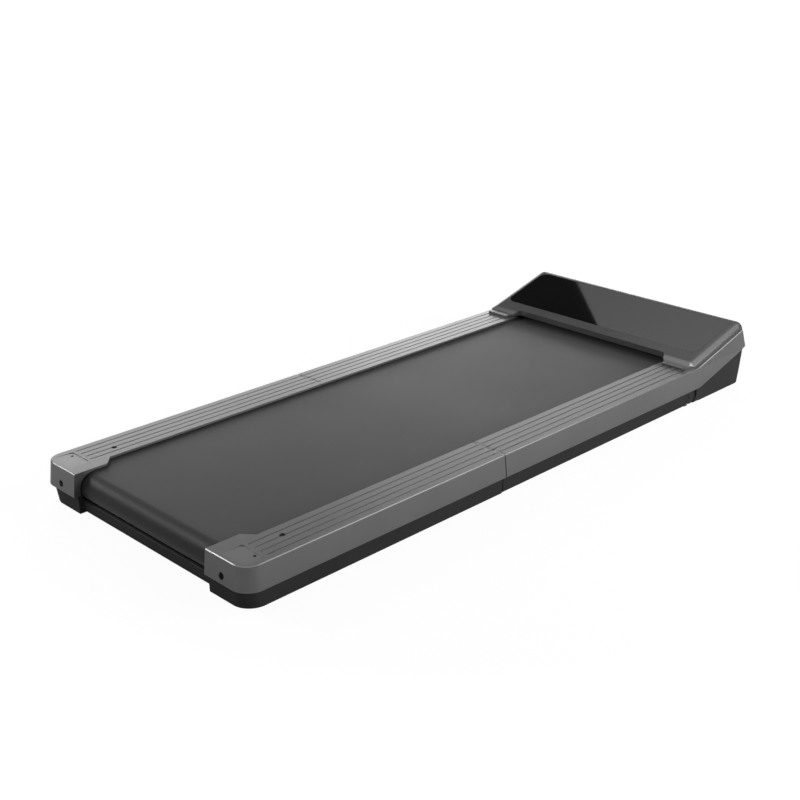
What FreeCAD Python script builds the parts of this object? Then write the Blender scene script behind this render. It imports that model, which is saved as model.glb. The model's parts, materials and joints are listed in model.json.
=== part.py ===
import FreeCAD, Part
import math
import os

# Folding walking pad, in millimetres.
# X runs across to the user's right, Y along the pad to the motor end, Z up from the floor.
# Lengthwise places are measured from the rear end; the finished pieces are
# moved so that the origin is under the middle of the pad, on the floor.

V = FreeCAD.Vector

# Overall size and common clearances
pad_length = 1345.0
pad_width = 550.0
rail_top = 77.0
cut_over = 6.0
running_clearance = 0.05
fit_clearance = 0.3
round_share = 0.98

# Silver side rail covers
rail_width = 75.0
rail_wall = 4.0
band_height = 42.0
band_flare = 4.5
rail_bevel = 1.2
groove_count = 4
groove_width = 2.6
groove_depth = 1.2
rear_groove_start = 54.0

# Rear ends of the rail covers
rear_corner_radius = 28.0
end_overhang = 20.0
end_length = 65.0
end_chamfer_length = 18.0
end_side_wall = 3.0
rear_wall = 4.0
recess_depth = 1.0
recess_outer_inset = 13.0
recess_width = 54.0
recess_rear = 8.0
recess_front = 48.0
recess_radius = 7.0
end_hole_radius = 2.8
end_hole_inset = 26.0
end_hole_y = 39.0
cover_screw_y = 110.0
cover_screw_inset = 47.0
cover_screw_hole_radius = 5.0
cover_screw_head_radius = 4.6
cover_screw_head_height = 1.4

# Fold: pins under the rail tops, joined by links that rise through two of the grooves
seam_gap = 2.2
seam_round = 2.8
rest_overlap = 9.0
pin_depth = 6.0
pin_setback = 7.8
pin_radius = 2.0
pin_end_margin = 3.0
link_thickness = 2.0
link_end_radius = 3.8
leaf_length = 30.0
leaf_plug_length = 20.0
leaf_setback = 0.5
leaf_skin = 2.6

# Steel side beams inside the covers
beam_inset = 12.0
beam_outer_inset = 13.0
beam_height = 30.0
beam_wall = 2.5
rear_beam_y = 66.0
front_beam_setback = 185.0

# Walking belt, rollers and axles
belt_tuck = 5.0
belt_drop = 7.0
belt_thickness = 1.8
belt_seam_gap = 0.6
roller_radius = 23.5
roller_wall = 3.5
roller_overlength = 3.0
roller_belt_gap = 0.3
axle_radius = 8.5
bearing_width = 12.0
belt_setback = 11.4
drive_roller_setback = 145.0
pocket_clearance = 2.6
mount_thickness = 13.0
mount_drop = 14.0
mount_rise = 17.0
mount_plug_length = 24.0
mount_nose = 20.0

# Belt tension bolts at the rear axle
bolt_radius = 4.0
bolt_rise = 3.5
bolt_head_radius = 6.5
bolt_head_height = 7.0
bolt_head_y = 5.5
bolt_length = 32.0
bolt_socket_radius = 3.0
bolt_socket_depth = 4.0
bolt_hole_radius = 6.0
bolt_head_room = 1.0
tension_travel = 5.0

# Deck boards on cushions and cross members
deck_inset = 1.0
deck_thickness = 15.0
deck_roller_gap = 6.0
cross_depth = 40.0
cross_height = 20.0
cross_wall = 2.0
cross_shares = (0.12, 0.5, 0.88)
cushion_height = 4.0
cushion_width = 30.0
cushion_length = 80.0
cushion_shares = (-0.7, 0.0, 0.7)

# Dark skirts, pans, guard bar and feet
skirt_bottom = 2.0
skirt_wall = 3.0
skirt_inset_neck = 7.0
skirt_inset_top = 2.7
skirt_inset_bottom = 4.2
skirt_flange = 40.0
skirt_corner_round = 3.0
skirt_low_corner_radius = 38.0
front_skirt_setback = 211.5
skirt_base_gap = 1.0
pan_inset = 20.0
pan_thickness = 2.0
pan_end_gap = 2.0
bar_setback = 12.0
bar_depth = 7.0
bar_bottom = 10.0
bar_top = 25.5
bar_round = 2.0
foot_radius = 14.0
foot_inset = 30.0
foot_shares = (0.1, 0.92)

# Sloped front: silver band, motor cover, lower housing
slope_angle = 15.5
kink_setback = 173.0
kink_radius = 45.0
band_low_kink_setback = 171.0
band_low_front_setback = 10.0
band_low_front_drop = 1.0
band_tip_rise = 2.0
band_tip_height = 4.0
band_top_front_setback = 16.0
band_corner_round = 2.0
plate_front_setback = 176.0

cover_rise = 17.0
cover_wall = 3.2
cover_side_gap = 0.3
cover_edge_round = 15.0
cover_front_round = 20.0
cover_head_setback = 1.0
cover_foot_setback = 0.5
cover_foot_rise = 2.0
cover_heel_drop = 5.0
step_setback = 186.5
step_hollow_round = 10.0
step_crown_round = 14.0
tongue_height = 5.5
tongue_setback = 210.0
tongue_length = 12.0
tongue_round = 1.0
tongue_inset_inner = 10.0
tongue_inset_outer = 13.0
tongue_flare_length = 20.0
tongue_inner_flare = 5.0
lip_setback = 180.5
lip_height = 11.5
lip_corner_round = 14.0

panel_inset = 22.0
panel_rear_setback = 157.0
panel_front_margin = 26.5
panel_thickness = 2.0
panel_corner_round = 18.0
display_board_width = 120.0
display_board_depth = 30.0
display_board_thickness = 1.6
display_board_gap = 4.0
display_post_radius = 3.0

base_rear_setback = 157.0
base_wall = 3.0
base_inset_top = 4.6
base_inset_bottom = 5.5
base_front_foot_setback = 13.5
base_front_head_setback = 3.5
base_front_head_drop = 6.0
base_front_round = 5.0
base_rear_wall_top = 8.0
base_lip_height = 5.0
base_lip_end_margin = 14.0

# Motor, drive belt and electronics
motor_setback = 65.0
motor_z = 44.0
motor_radius = 30.0
motor_can_wall = 4.0
motor_length = 138.0
motor_shaft_radius = 6.0
motor_shaft_tail = 8.0
motor_pulley_radius = 10.0
armature_radius = 21.0
armature_margin = 14.0
flywheel_radius = 27.0
flywheel_width = 12.0
flywheel_gap = 4.0
motor_saddle_width = 10.0
motor_saddle_depth = 50.0
motor_saddle_rise_share = 0.6
motor_saddle_shares = (0.12, 0.82)
pulley_width = 17.0
pulley_radius = 32.0
pulley_rib_count = 5
pulley_rib_depth = 1.2
pulley_side = 3.0
pulley_mount_gap = 4.0
drive_belt_thickness = 2.4
drive_belt_margin = 1.5
board_x0 = 10.0
board_width = 160.0
board_setback = 105.0
board_depth = 72.0
board_thickness = 1.6
board_height = 14.0
board_post_radius = 4.0
board_post_margin = 8.0
heatsink_width = 80.0
heatsink_depth = 48.0
heatsink_height = 30.0
heatsink_base = 5.0
heatsink_fin = 2.0
heatsink_fin_count = 8
heatsink_margin = 12.0
capacitor_radius = 11.0
capacitor_height = 32.0
capacitor_pitch = 26.0

# Mains inlet and rocker switch in the front wall
inlet_x = 150.0
inlet_height = 34.0
inlet_width = 27.0
inlet_tall = 20.0
inlet_depth = 22.0
inlet_flange = 5.0
inlet_flange_thickness = 2.0
inlet_wall = 2.0
inlet_pin_length = 14.0
inlet_pin_width = 4.0
inlet_pin_thickness = 2.0
inlet_pin_pitch = 7.0
inlet_pin_offset = 4.0
inlet_corner = 5.0
rocker_x = 96.0
rocker_width = 13.0
rocker_tall = 21.0
rocker_frame = 3.0
rocker_frame_thickness = 2.0
rocker_body_depth = 18.0
rocker_hinge_depth = 3.0
rocker_tilt = 9.0
rocker_proud = 3.0
rocker_pin_radius = 1.5

# Transport wheels
wheel_setback = 189.5
wheel_radius = 18.0
wheel_ground_gap = 1.6
wheel_width = 17.0
wheel_skirt_gap = 1.0
wheel_arch_gap = 1.5
wheel_round = 3.0
wheel_dish_radius = 11.0
wheel_dish_depth = 2.0
wheel_axle_radius = 4.0
wheel_axle_head_radius = 7.0
wheel_axle_head_height = 1.6
wheel_bracket_thickness = 4.0
wheel_bracket_gap = 1.0
wheel_bracket_depth = 26.0

# Places that follow from the sizes above
half_width = pad_width / 2
rail_inner_x = half_width - rail_width
rail_roof = rail_top - rail_wall
band_bottom = rail_top - band_height
groove_pitch = rail_width / (groove_count + 1)
groove_xs = [rail_inner_x + groove_pitch * (i + 1) for i in range(groove_count)]
link_xs = groove_xs[1:-1]
end_inner_x = rail_inner_x - end_overhang

tongue_y = pad_length - tongue_setback
fold_y = (tongue_y + rest_overlap) / 2
rear_end_y = fold_y - seam_gap / 2
front_end_y = fold_y + seam_gap / 2
pin_z = rail_top - pin_depth
rear_pin_y = rear_end_y - pin_setback
front_pin_y = front_end_y + pin_setback

beam_x0 = rail_inner_x + beam_inset
beam_x1 = half_width - beam_outer_inset
beam_bottom = rail_roof - beam_height
front_beam_y = pad_length - front_beam_setback

belt_top = rail_top - belt_drop
belt_radius = roller_radius + roller_belt_gap + belt_thickness
roller_z = belt_top - belt_radius
bolt_z = roller_z + bolt_rise
rear_roller_y = belt_setback + belt_radius
drive_roller_y = pad_length - drive_roller_setback
belt_half_width = rail_inner_x + belt_tuck
roller_x = belt_half_width + roller_overlength
mount_x0 = beam_x0 + beam_wall
mount_x1 = mount_x0 + mount_thickness
bolt_x = (mount_x0 + mount_x1) / 2
pulley_mount_x0 = roller_x + pulley_width + pulley_mount_gap

deck_half_width = belt_half_width - deck_inset
deck_top = belt_top - belt_thickness
deck_bottom = deck_top - deck_thickness
rear_deck_y = rear_roller_y + roller_radius + deck_roller_gap
front_deck_y = drive_roller_y - roller_radius - deck_roller_gap
cross_top = deck_bottom - cushion_height

slope = math.tan(math.radians(slope_angle))
kink_y = pad_length - kink_setback
plate_front_y = pad_length - plate_front_setback
lip_y = pad_length - lip_setback
cover_head_y = pad_length - cover_head_setback
cover_foot_y = pad_length - cover_foot_setback
cover_foot_z = rail_top + cover_foot_rise
cover_half = half_width - rail_wall - cover_side_gap
cover_heel_y = plate_front_y + cover_side_gap
panel_rear_y = pad_length - panel_rear_setback

base_rear_y = pad_length - base_rear_setback
base_foot_y = pad_length - base_front_foot_setback
base_head_y = pad_length - base_front_head_setback
base_head_z = rail_top - base_front_head_drop
front_lean = math.degrees(math.atan((base_head_y - base_foot_y) / base_head_z))
skirt_front_y = pad_length - front_skirt_setback
wheel_y = pad_length - wheel_setback
wheel_z = wheel_radius + wheel_ground_gap
wheel_x1 = half_width - skirt_inset_neck - skirt_wall - wheel_skirt_gap
wheel_x0 = wheel_x1 - wheel_width
motor_y = pad_length - motor_setback
flywheel_x0 = -roller_x + flywheel_gap
motor_x0 = flywheel_x0 + flywheel_width + flywheel_gap
pan_top = skirt_bottom + skirt_wall + pan_thickness


# Helpers
def box(x0, x1, y0, y1, z0, z1):
    return Part.makeBox(x1 - x0, y1 - y0, z1 - z0, V(x0, y0, z0))


def cylinder_x(y, z, radius, x0, x1):
    return Part.makeCylinder(radius, x1 - x0, V(x0, y, z), V(1, 0, 0))


def cylinder_y(x, z, radius, y0, y1):
    return Part.makeCylinder(radius, y1 - y0, V(x, y0, z), V(0, 1, 0))


def cylinder_z(x, y, radius, z0, z1):
    return Part.makeCylinder(radius, z1 - z0, V(x, y, z0), V(0, 0, 1))


def rounded_wire(corners):
    """Closed wire through (point, radius) corners; a radius of 0 stays sharp."""
    spans = []
    for i, (point, radius) in enumerate(corners):
        if radius == 0:
            spans.append((point, None, point))
            continue
        back = (corners[i - 1][0] - point).normalize()
        ahead = (corners[(i + 1) % len(corners)][0] - point).normalize()
        half_turn = back.getAngle(ahead) / 2
        reach = radius / math.tan(half_turn)
        inward = (back + ahead).normalize()
        middle = point + inward * (radius / math.sin(half_turn) - radius)
        spans.append((point + back * reach, middle, point + ahead * reach))
    edges = []
    for i, (start, middle, end) in enumerate(spans):
        if middle is not None:
            edges.append(Part.Arc(start, middle, end).toShape())
        following = spans[(i + 1) % len(spans)][0]
        edges.append(Part.LineSegment(end, following).toShape())
    return Part.Wire(edges)


def outline_wire(outline, to_point):
    """Wire of (a, b) or (a, b, radius) corners, placed in space by to_point."""
    return rounded_wire([(to_point(c[0], c[1]), c[2] if len(c) > 2 else 0) for c in outline])


def prism_x(outline, x0, x1):
    """Side outline of (y, z) corners, drawn from x0 to x1."""
    wire = outline_wire(outline, lambda y, z: V(x0, y, z))
    return Part.Face(wire).extrude(V(x1 - x0, 0, 0))


def prism_y(outline, y0, y1):
    """Cross-section of (x, z) corners, drawn from y0 to y1."""
    wire = outline_wire(outline, lambda x, z: V(x, y0, z))
    return Part.Face(wire).extrude(V(0, y1 - y0, 0))


def prism_z(outline, z0, z1):
    """Plan outline of (x, y) corners, drawn from z0 to z1."""
    wire = outline_wire(outline, lambda x, y: V(x, y, z0))
    return Part.Face(wire).extrude(V(0, 0, z1 - z0))


def frustum_z(low_outline, low_z, high_outline, high_z):
    """Straight-sided solid from one plan outline to another with as many corners."""
    low = outline_wire(low_outline, lambda x, y: V(x, y, low_z))
    high = outline_wire(high_outline, lambda x, y: V(x, y, high_z))
    return Part.makeLoft([low, high], True, True)


def turned_x(profile, y, z):
    """Solid of revolution about an X line; the profile has (x, radius) corners."""
    wire = outline_wire(profile, lambda x, radius: V(x, y, z + radius))
    return Part.Face(wire).revolve(V(0, y, z), V(1, 0, 0), 360)


def joined(solids):
    whole = solids[0]
    for solid in solids[1:]:
        whole = whole.fuse(solid)
    return whole.removeSplitter()


def mirrored(shape):
    return shape.mirror(V(0, 0, 0), V(1, 0, 0))


def middle_of(edge):
    return edge.valueAt((edge.FirstParameter + edge.LastParameter) / 2)


def export(node, *solids):
    shape = Part.makeCompound(list(solids)) if len(solids) > 1 else solids[0].copy()
    shape.translate(V(0, -(pad_length - band_flare) / 2, 0))
    shape.exportStep("parts/%s.step" % node)


def export_pair(node, shape):
    export(node + "_right", shape)
    export(node + "_left", mirrored(shape))


def slope_z(y):
    """Height of the silver band's top edge over the sloped front."""
    return rail_top + slope * max(0, y - kink_y)


def cover_z(y):
    """Height of the motor cover's sloped top."""
    return rail_top + cover_rise + slope * (y - kink_y)


# Side rail covers
def belt_pocket():
    """Room for the belt and roller inside a rear end, about the roller's axis."""
    radius = belt_radius + pocket_clearance
    x0 = end_inner_x - cut_over
    drum = cylinder_x(rear_roller_y, roller_z, radius, x0, mount_x0)
    run = box(x0, mount_x0, rear_roller_y, rear_end_y, roller_z - radius, roller_z + radius)
    return drum.fuse(run)


def seam_block(y_seam, y_far):
    """Slab between the seam face, rounded on top, and a far end."""
    low = band_bottom - cut_over
    outline = [(y_seam, low), (y_seam, rail_top, seam_round), (y_far, rail_top), (y_far, low)]
    return prism_x(outline, end_inner_x - cut_over, half_width + cut_over)


def hinge_cuts(end_y, toward):
    """Leaf pocket and link slots at a seam end; toward points into the piece."""
    depth = pin_setback + link_end_radius + fit_clearance
    low = rail_roof - cut_over
    cuts = []
    for x in link_xs:
        ys = sorted((end_y - toward * cut_over, end_y + toward * depth))
        half = groove_width / 2
        cuts.append(box(x - half, x + half, ys[0], ys[1], low, rail_top + cut_over))
    ys = sorted((end_y - toward * cut_over, end_y + toward * (leaf_length + leaf_setback)))
    cuts.append(box(beam_x0, beam_x1, ys[0], ys[1], low, rail_top - leaf_skin))
    return cuts


def groove_cuts(y0, y1):
    z0 = rail_top - groove_depth
    half = groove_width / 2
    return [box(x - half, x + half, y0, y1, z0, rail_top + cut_over) for x in groove_xs]


def rear_cover_plan(flare):
    """Plan of a rear rail cover, grown by flare on its outer side and rear end."""
    outer_x = half_width + flare
    chamfer_y = end_length + end_chamfer_length
    return [(end_inner_x, -flare), (outer_x, -flare, rear_corner_radius + flare), (outer_x, rear_end_y),
            (rail_inner_x, rear_end_y), (rail_inner_x, chamfer_y), (end_inner_x, end_length)]


def rear_rail_cover():
    shell = prism_z(rear_cover_plan(0), band_bottom, rail_top)
    straight_x = half_width - rear_corner_radius
    bevelled = []
    for edge in shell.Edges:
        on_top = min(v.Z for v in edge.Vertexes) > rail_roof
        middle = middle_of(edge)
        if on_top and (middle.x > straight_x or middle.y < rail_bevel):
            bevelled.append(edge)
    shell = shell.makeChamfer(rail_bevel, bevelled)
    flared = frustum_z(rear_cover_plan(band_flare), band_bottom, rear_cover_plan(0), rail_top - rail_bevel)
    shell = joined([shell, flared]).common(seam_block(rear_end_y, -cut_over))
    inner_x = half_width - rail_wall
    inner_end_x = end_inner_x + end_side_wall
    open_x = end_inner_x - cut_over
    far_y = rear_end_y + cut_over
    hollow = [(inner_end_x, rear_wall), (inner_x, rear_wall, rear_corner_radius - rail_wall),
              (inner_x, far_y), (open_x, far_y), (open_x, rear_roller_y), (inner_end_x, rear_roller_y)]
    shell = shell.cut(prism_z(hollow, band_bottom - cut_over, rail_roof))
    recess_x1 = half_width - recess_outer_inset
    recess_x0 = recess_x1 - recess_width
    recess = [(recess_x0, recess_rear, recess_radius), (recess_x1, recess_rear, recess_radius),
              (recess_x1, recess_front, recess_radius), (recess_x0, recess_front, recess_radius)]
    over_z = rail_top + cut_over
    ramp = [(recess_rear, rail_top), (recess_front, rail_top - recess_depth), (recess_front, over_z),
            (recess_rear, over_z)]
    recess_room = prism_z(recess, rail_roof, over_z)
    cuts = [belt_pocket(), recess_room.common(prism_x(ramp, recess_x0, recess_x1))]
    under_z = rail_roof - cut_over
    cuts.append(cylinder_z(half_width - end_hole_inset, end_hole_y, end_hole_radius, under_z, over_z))
    screw_x = half_width - cover_screw_inset
    cuts.append(cylinder_z(screw_x, cover_screw_y, cover_screw_hole_radius, under_z, over_z))
    cuts.append(cylinder_y(bolt_x, bolt_z, bolt_hole_radius, -cut_over, rear_wall + cut_over))
    cuts += groove_cuts(rear_groove_start, rear_end_y + cut_over)
    cuts += hinge_cuts(rear_end_y, -1)
    return shell.cut(cuts)


def front_rail_cover():
    low_front_y = pad_length - band_low_front_setback
    top_front_y = pad_length - band_top_front_setback
    side = [(front_end_y, band_bottom), (pad_length - band_low_kink_setback, band_bottom),
            (low_front_y, rail_top - band_low_front_drop),
            (pad_length, rail_top + band_tip_rise, band_corner_round),
            (pad_length, rail_top + band_tip_rise + band_tip_height, band_corner_round),
            (top_front_y, slope_z(top_front_y), band_corner_round),
            (kink_y, rail_top, kink_radius), (front_end_y, rail_top)]
    wall = prism_x(side, half_width - rail_wall, half_width)
    bevelled = []
    for edge in wall.Edges:
        outside = min(v.X for v in edge.Vertexes) > half_width - rail_bevel
        middle = middle_of(edge)
        along_top = middle.z > slope_z(middle.y) - rail_bevel and middle.y < top_front_y - band_corner_round
        if outside and along_top and middle.y > front_end_y + rail_bevel:
            bevelled.append(edge)
    wall = wall.makeChamfer(rail_bevel, bevelled)
    lean = [(half_width - rail_wall, band_bottom), (half_width + band_flare, band_bottom),
            (half_width, rail_top - rail_bevel), (half_width - rail_wall, rail_top - rail_bevel)]
    flared = prism_y(lean, front_end_y, pad_length)
    flared = flared.common(prism_x(side, half_width - rail_wall, half_width + band_flare))
    plate = box(rail_inner_x, half_width - rail_wall, front_end_y, plate_front_y, rail_roof, rail_top)
    shell = joined([wall, flared, plate])
    rear_zone = seam_block(front_end_y, plate_front_y)
    front_zone = box(end_inner_x, half_width + cut_over, plate_front_y, pad_length + cut_over, 0,
                     rail_top + pad_width)
    shell = joined([shell.common(rear_zone), shell.common(front_zone)])
    cuts = groove_cuts(front_end_y - cut_over, tongue_y + tongue_length / 2)
    cuts += hinge_cuts(front_end_y, 1)
    return shell.cut(cuts)


# Fold hinge
def hinge_leaf(end_y, toward):
    """Steel block in a rail end, with a plug in the beam, slots for the links and a pin hole."""
    face_y = end_y + toward * leaf_setback
    back_y = face_y + toward * leaf_length
    plug_y = back_y + toward * leaf_plug_length
    pin_y = end_y + toward * pin_setback
    ys = sorted((face_y, back_y))
    block = box(beam_x0, beam_x1, ys[0], ys[1], beam_bottom, rail_top - leaf_skin)
    ys = sorted((back_y, plug_y))
    plug = box(beam_x0 + beam_wall, beam_x1 - beam_wall, ys[0], ys[1], beam_bottom + beam_wall,
               rail_roof - beam_wall)
    leaf = joined([block, plug])
    slot_z = pin_z - link_end_radius - fit_clearance
    slot_y = pin_y + toward * (link_end_radius + fit_clearance)
    ys = sorted((face_y - toward * cut_over, slot_y))
    cuts = []
    for x in link_xs:
        half = groove_width / 2
        cuts.append(box(x - half, x + half, ys[0], ys[1], slot_z, rail_top))
    bore = pin_radius + running_clearance
    cuts.append(cylinder_x(pin_y, pin_z, bore, beam_x0 - cut_over, beam_x1 + cut_over))
    return leaf.cut(cuts)


def hinge_link(x):
    bar = [(rear_pin_y - link_end_radius, pin_z - link_end_radius, link_end_radius * round_share),
           (front_pin_y + link_end_radius, pin_z - link_end_radius, link_end_radius * round_share),
           (front_pin_y + link_end_radius, pin_z + link_end_radius, link_end_radius * round_share),
           (rear_pin_y - link_end_radius, pin_z + link_end_radius, link_end_radius * round_share)]
    link = prism_x(bar, x - link_thickness / 2, x + link_thickness / 2)
    for y in (rear_pin_y, front_pin_y):
        link = link.cut(cylinder_x(y, pin_z, pin_radius, x - link_thickness, x + link_thickness))
    return link


def hinge_pin(y):
    return cylinder_x(y, pin_z, pin_radius, link_xs[0] - groove_pitch + pin_end_margin,
                      link_xs[-1] + groove_pitch - pin_end_margin)


# Frame
def side_beam(y0, y1):
    outer = box(beam_x0, beam_x1, y0, y1, beam_bottom, rail_roof)
    bore = box(beam_x0 + beam_wall, beam_x1 - beam_wall, y0 - cut_over, y1 + cut_over,
               beam_bottom + beam_wall, rail_roof - beam_wall)
    return outer.cut(bore)


def cross_members(y0, y1):
    tubes = []
    for share in cross_shares:
        y = y0 + (y1 - y0) * share
        low = cross_top - cross_height
        half = cross_depth / 2
        outer = box(-beam_x0, beam_x0, y - half, y + half, low, cross_top)
        reach = half - cross_wall
        bore = box(-beam_x0 - cut_over, beam_x0 + cut_over, y - reach, y + reach, low + cross_wall,
                   cross_top - cross_wall)
        tubes.append(outer.cut(bore))
    return tubes


def deck_cushions(y0, y1):
    pads = []
    for share in cross_shares:
        y = y0 + (y1 - y0) * share
        for side_share in cushion_shares:
            x = deck_half_width * side_share
            pads.append(box(x - cushion_length / 2, x + cushion_length / 2, y - cushion_width / 2,
                            y + cushion_width / 2, cross_top, deck_bottom))
    return pads


def deck(y0, y1):
    return box(-deck_half_width, deck_half_width, y0, y1, deck_bottom, deck_top)


# Belt loop, split where the pad folds
def belt_half(roller_y, seam_y):
    """U of the walking belt from the seam round one roller."""
    outer = cylinder_x(roller_y, roller_z, belt_radius, -belt_half_width, belt_half_width)
    inner_radius = belt_radius - belt_thickness
    inner = cylinder_x(roller_y, roller_z, inner_radius, -belt_half_width, belt_half_width)
    ys = sorted((roller_y, seam_y))
    outer_run = box(-belt_half_width, belt_half_width, ys[0], ys[1], roller_z - belt_radius, belt_top)
    past_y = seam_y + math.copysign(cut_over, seam_y - roller_y)
    ys = sorted((roller_y, past_y))
    inner_run = box(-belt_half_width, belt_half_width, ys[0], ys[1], roller_z - inner_radius,
                    roller_z + inner_radius)
    return joined([outer, outer_run]).cut(joined([inner, inner_run]))


def roller_tube(y, x0, x1):
    outer = cylinder_x(y, roller_z, roller_radius, x0, x1)
    return outer.cut(cylinder_x(y, roller_z, roller_radius - roller_wall, x0 - cut_over, x1 + cut_over))


def roller_bearings(y, x0, x1):
    rings = []
    for start in (x0, x1 - bearing_width):
        ring = cylinder_x(y, roller_z, roller_radius - roller_wall, start, start + bearing_width)
        rings.append(ring.cut(cylinder_x(y, roller_z, axle_radius + running_clearance, start - cut_over,
                                         start + bearing_width + cut_over)))
    return rings


def rear_axle():
    axle = cylinder_x(rear_roller_y, roller_z, axle_radius, -mount_x1, mount_x1)
    for x in (-bolt_x, bolt_x):
        axle = axle.cut(cylinder_y(x, bolt_z, bolt_radius + running_clearance, 0, rear_roller_y * 2))
    return axle


def rear_axle_mount():
    """Plate in the beam's rear end, with a slot for the axle and a hole for the tension bolt."""
    back_y = bolt_head_y + bolt_head_height
    plug_y = rear_beam_y + mount_plug_length
    side = [(back_y, roller_z - mount_drop, bar_round), (rear_beam_y, roller_z - mount_drop),
            (rear_beam_y, beam_bottom + beam_wall), (plug_y, beam_bottom + beam_wall),
            (plug_y, rail_roof - beam_wall), (rear_beam_y, rail_roof - beam_wall),
            (rear_beam_y, roller_z + mount_rise), (back_y, roller_z + mount_rise, bar_round)]
    plate = prism_x(side, mount_x0, mount_x1)
    reach = axle_radius + running_clearance
    over_x0 = mount_x0 - cut_over
    over_x1 = mount_x1 + cut_over
    tight_y = rear_roller_y + tension_travel
    slot = [cylinder_x(rear_roller_y, roller_z, reach, over_x0, over_x1),
            cylinder_x(tight_y, roller_z, reach, over_x0, over_x1),
            box(over_x0, over_x1, rear_roller_y, tight_y, roller_z - reach, roller_z + reach)]
    bolt_bore = cylinder_y(bolt_x, bolt_z, bolt_radius + running_clearance, 0, rear_roller_y)
    return plate.cut(slot + [bolt_bore])


def tension_bolt():
    """Socket-head bolt whose head bears on the rear axle mount."""
    seat_y = bolt_head_y + bolt_head_height
    head = cylinder_y(bolt_x, bolt_z, bolt_head_radius, bolt_head_y, seat_y)
    shank = cylinder_y(bolt_x, bolt_z, bolt_radius, seat_y, seat_y + bolt_length)
    socket = Part.makePolygon([V(bolt_x + bolt_socket_radius * math.cos(math.radians(60 * i)), bolt_head_y,
                                 bolt_z + bolt_socket_radius * math.sin(math.radians(60 * i)))
                               for i in range(7)])
    return joined([head, shank]).cut(Part.Face(socket).extrude(V(0, bolt_socket_depth, 0)))


def drive_mount(x0):
    """Plate in the beam's front end that holds the drive roller's axle."""
    nose_y = drive_roller_y + mount_nose
    plug_y = front_beam_y - mount_plug_length
    side = [(plug_y, beam_bottom + beam_wall), (front_beam_y, beam_bottom + beam_wall),
            (front_beam_y, roller_z - mount_drop), (nose_y, roller_z - mount_drop, bar_round),
            (nose_y, roller_z + mount_rise, bar_round), (front_beam_y, roller_z + mount_rise),
            (front_beam_y, rail_roof - beam_wall), (plug_y, rail_roof - beam_wall)]
    plate = prism_x(side, x0, x0 + mount_thickness)
    return plate.cut(cylinder_x(drive_roller_y, roller_z, axle_radius, x0 - cut_over,
                                x0 + mount_thickness + cut_over))


# Skirts, pans and feet
def front_skirt():
    """C-section under the side beam, then a plain wall with an arch for the transport wheel."""
    neck_x = half_width - skirt_inset_neck
    top_x = half_width - skirt_inset_top
    low_x = half_width - skirt_inset_bottom
    inner_x = low_x - skirt_flange
    shoulder_z = band_bottom - skirt_wall
    outside = [(neck_x, beam_bottom), (neck_x, band_bottom), (top_x, band_bottom)]
    inside = [(top_x - skirt_wall, shoulder_z), (neck_x - skirt_wall, shoulder_z)]
    floor_z = skirt_bottom + skirt_wall
    flange_z = beam_bottom - skirt_wall
    section = outside + [(low_x, skirt_bottom, skirt_corner_round), (inner_x, skirt_bottom),
                         (inner_x, floor_z), (low_x - skirt_wall, floor_z)]
    section += inside + [(neck_x - skirt_wall, flange_z), (inner_x, flange_z), (inner_x, beam_bottom)]
    wall = outside + [(low_x, skirt_bottom), (low_x - skirt_wall, skirt_bottom)]
    wall += inside + [(neck_x - skirt_wall, beam_bottom)]
    skirt = joined([prism_y(section, front_end_y, skirt_front_y),
                    prism_y(wall, skirt_front_y, base_rear_y - skirt_base_gap)])
    over_x = half_width + cut_over
    arch = cylinder_x(wheel_y, wheel_z, wheel_radius + wheel_arch_gap, inner_x, over_x)
    return skirt.cut(arch.common(box(inner_x, over_x, 0, pad_length, -wheel_radius, band_bottom)))


def rear_skirt_plan(inset, inner_inset, corner_radius):
    """Plan of a rear skirt: an L along the side and round the rear corner."""
    outer_x = half_width - inset
    strip_x = half_width - skirt_inset_bottom - skirt_flange
    side_x = end_inner_x + inner_inset
    return [(side_x, inset), (outer_x, inset, corner_radius - inset), (outer_x, rear_end_y),
            (strip_x, rear_end_y), (strip_x, rear_beam_y), (side_x, rear_beam_y)]


def rear_skirt():
    """Tray-like skirt round the rear corner, open inward, with a floor and a flange under the beam."""
    top_round = rear_corner_radius
    low_round = skirt_low_corner_radius
    outer = joined([frustum_z(rear_skirt_plan(skirt_inset_bottom, 0, low_round), skirt_bottom,
                              rear_skirt_plan(skirt_inset_top, 0, top_round), band_bottom),
                    prism_z(rear_skirt_plan(skirt_inset_neck, end_side_wall, top_round), band_bottom,
                            beam_bottom)])
    floor_z = skirt_bottom + skirt_wall
    high_z = beam_bottom + cut_over
    shoulder_z = band_bottom - skirt_wall
    floor_inset = skirt_inset_bottom + skirt_wall
    shoulder_inset = skirt_inset_top + skirt_wall
    neck_inset = skirt_inset_neck + skirt_wall
    side_inset = end_side_wall + skirt_wall
    hollow = joined([frustum_z(rear_skirt_plan(floor_inset, side_inset, low_round), floor_z,
                               rear_skirt_plan(shoulder_inset, side_inset, top_round), shoulder_z),
                     prism_z(rear_skirt_plan(neck_inset, side_inset, top_round), shoulder_z, high_z)])
    strip_x = half_width - skirt_inset_bottom - skirt_flange
    bolt_room = cylinder_y(bolt_x, bolt_z, bolt_head_radius + bolt_head_room, 0, rear_roller_y)
    shell = outer.cut([hollow, belt_pocket(), bolt_room])
    flange_x = half_width - neck_inset
    flange_z = beam_bottom - skirt_wall
    flange = box(strip_x, flange_x, rear_beam_y + skirt_wall, rear_end_y, flange_z, beam_bottom)
    return joined([shell, flange])


def bottom_pan(y0, y1, half):
    return box(-half, half, y0, y1, skirt_bottom + skirt_wall, pan_top)


def rear_pan():
    wide = bottom_pan(rear_beam_y + pan_end_gap, rear_end_y, half_width - pan_inset)
    narrow = bottom_pan(bar_setback + bar_depth, rear_beam_y + pan_end_gap, end_inner_x)
    return joined([wide, narrow])


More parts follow.
